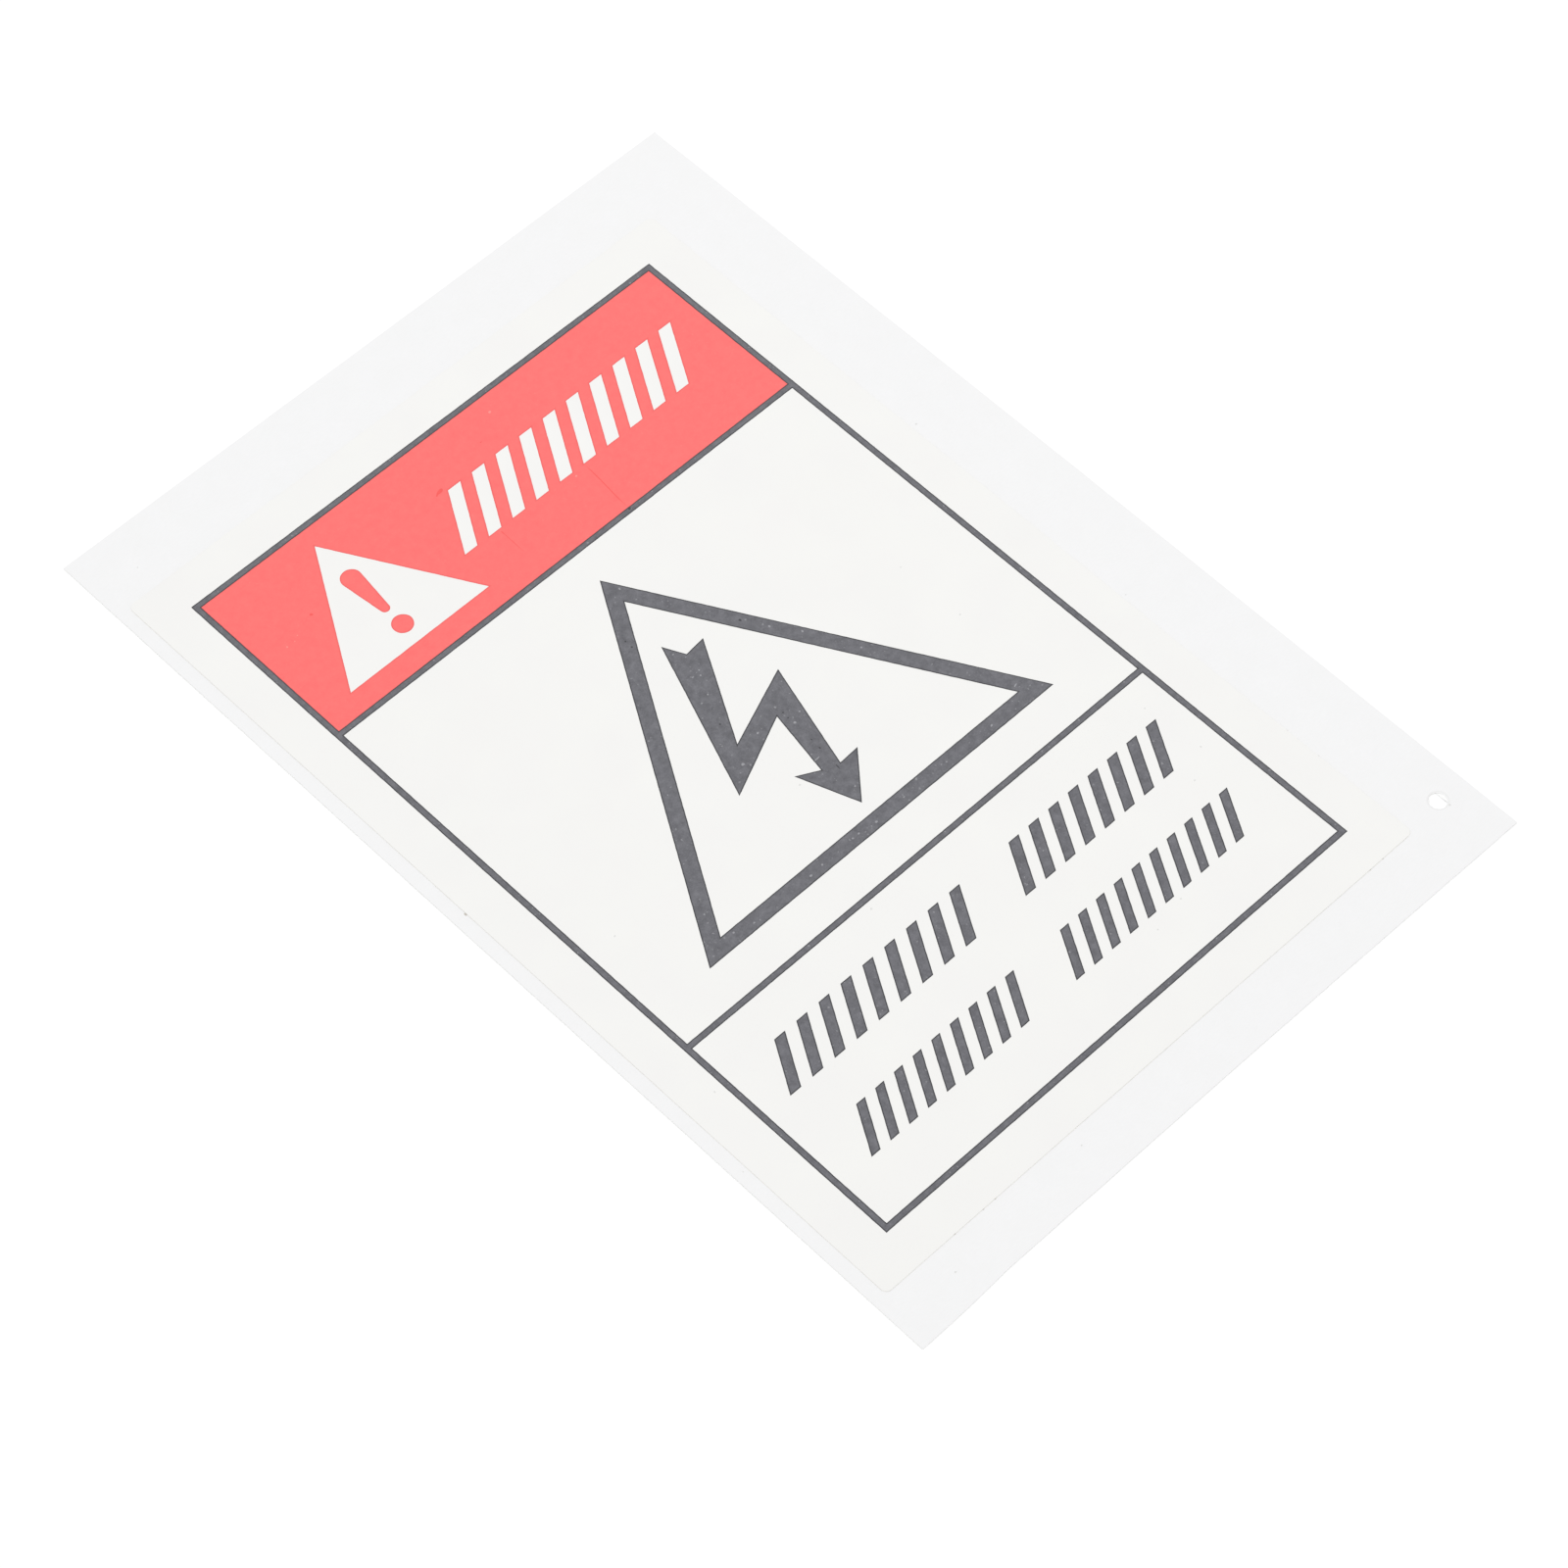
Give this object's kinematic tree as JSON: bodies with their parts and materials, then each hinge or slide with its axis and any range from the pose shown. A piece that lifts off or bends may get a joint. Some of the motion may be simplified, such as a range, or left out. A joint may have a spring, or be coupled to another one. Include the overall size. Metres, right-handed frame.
{
  "type": "warning sticker",
  "caption": "Flat hazard sticker: a printed, kiss-cut vinyl label on its larger release liner, with a red header panel, a framed bolt-in-triangle sign and rows of plain strokes.",
  "frame": {"origin": "middle of the release liner's underside, which lies on the table", "axes": "+X to the right of the print, +Y towards the top of the print, +Z out of the printed face"},
  "size_m": [0.1138, 0.1702, 0.0003],
  "materials": {
    "liner_paper": "satin",
    "label_vinyl": "satin",
    "red_ink": "satin",
    "dark_ink": "satin"
  },
  "bodies": {
    "root": {"release_liner": "liner_paper", "vinyl_label": "label_vinyl", "frame_print": "dark_ink", "header_print": "red_ink", "exclamation_mark_print": "red_ink", "hazard_triangle_print": "dark_ink", "lightning_bolt_print": "dark_ink", "upper_row_print": "dark_ink", "lower_row_print": "dark_ink"}
  },
  "joints": []
}
